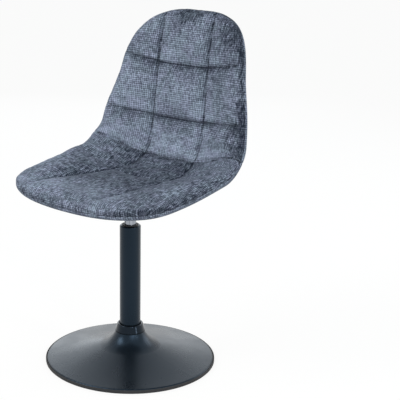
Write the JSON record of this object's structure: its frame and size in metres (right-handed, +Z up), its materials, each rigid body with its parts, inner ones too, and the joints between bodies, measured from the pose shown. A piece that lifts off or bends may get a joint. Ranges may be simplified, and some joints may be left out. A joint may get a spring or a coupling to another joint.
{
  "type": "swivel dining chair",
  "caption": "Quilted bucket-shell swivel chair on a gas-lift column with a round trumpet base; the seat turns freely and rises on the lift.",
  "frame": {"origin": "on the floor, at the axis of the column", "axes": "+Z up along the column, the chair faces -Y, the sitter's left hand is at +X"},
  "size_m": [0.4758, 0.4869, 0.8232],
  "materials": {
    "satin_black_paint": "satin black powder coat",
    "black_rubber": "matt black rubber",
    "cast_ballast": "rough cast",
    "zinc_steel": "zinc plated",
    "bright_steel": "ground bright",
    "gloss_black_plastic": "high gloss black",
    "matte_black_plastic": "fine matt grain",
    "alloy": "machined",
    "chrome": "polished chrome",
    "moulded_shell": "moulded, slightly grained",
    "chenille": "blue-grey chenille weave, mottled"
  },
  "bodies": {
    "base": {"base_dish": "satin_black_paint", "floor_ring": "black_rubber", "bottom_plate": "satin_black_paint", "ballast_ring": "cast_ballast", "hub_socket": "zinc_steel", "hub_gussets": "zinc_steel", "base_collar": "gloss_black_plastic", "column_tube": "satin_black_paint", "guide_bush": "matte_black_plastic", "lower_race": "bright_steel", "bearing_balls": "bright_steel", "bearing_cage": "matte_black_plastic"},
    "rod": {"piston_rod": "bright_steel", "upper_race": "bright_steel", "foot_washer": "zinc_steel", "retaining_clip": "zinc_steel", "bump_stop": "black_rubber", "piston": "alloy", "piston_ring": "black_rubber"},
    "seat": {"gas_cylinder": "chrome", "rod_gland": "matte_black_plastic", "inner_tube": "bright_steel", "valve_body": "alloy", "seat_plate": "satin_black_paint", "taper_socket": "satin_black_paint", "lever_bracket": "satin_black_paint", "pivot_pin": "zinc_steel", "seat_bolts": "zinc_steel", "bolt_washers": "zinc_steel", "tee_nuts": "zinc_steel", "seat_spacers": "black_rubber", "inner_shell": "moulded_shell", "seat_cushion": "chenille", "back_cushion": "chenille", "seat_under_cover": "chenille", "rear_cover": "chenille"},
    "lever": {"height_lever": "satin_black_paint", "lever_grip": "matte_black_plastic"},
    "button": {"valve_button": "alloy"}
  },
  "joints": [
    {"name": "seat_swivel", "type": "hinge", "parent": "base", "child": "rod", "pos_m": [0, 0, 0.02], "axis": [0, 0, 1], "continuous": true},
    {"name": "seat_height", "type": "slide", "parent": "rod", "child": "seat", "axis": [0, 0, 1], "range_m": [0, 0.12]},
    {"name": "lever_lift", "type": "hinge", "parent": "seat", "child": "lever", "pos_m": [-0.03, 0, 0.4053], "axis": [0, 1, 0], "range_deg": [0, 6], "stiffness_Nm_per_rad": 4, "springref_deg": -5.73},
    {"name": "button_press", "type": "slide", "parent": "seat", "child": "button", "axis": [0, 0, -1], "range_m": [0, 0.0036], "stiffness_N_per_m": 400, "springref_m": -0.002}
  ],
  "couplings": [
    {"joint": "button_press", "follows": "lever_lift", "m_per_rad": 0.034}
  ]
}
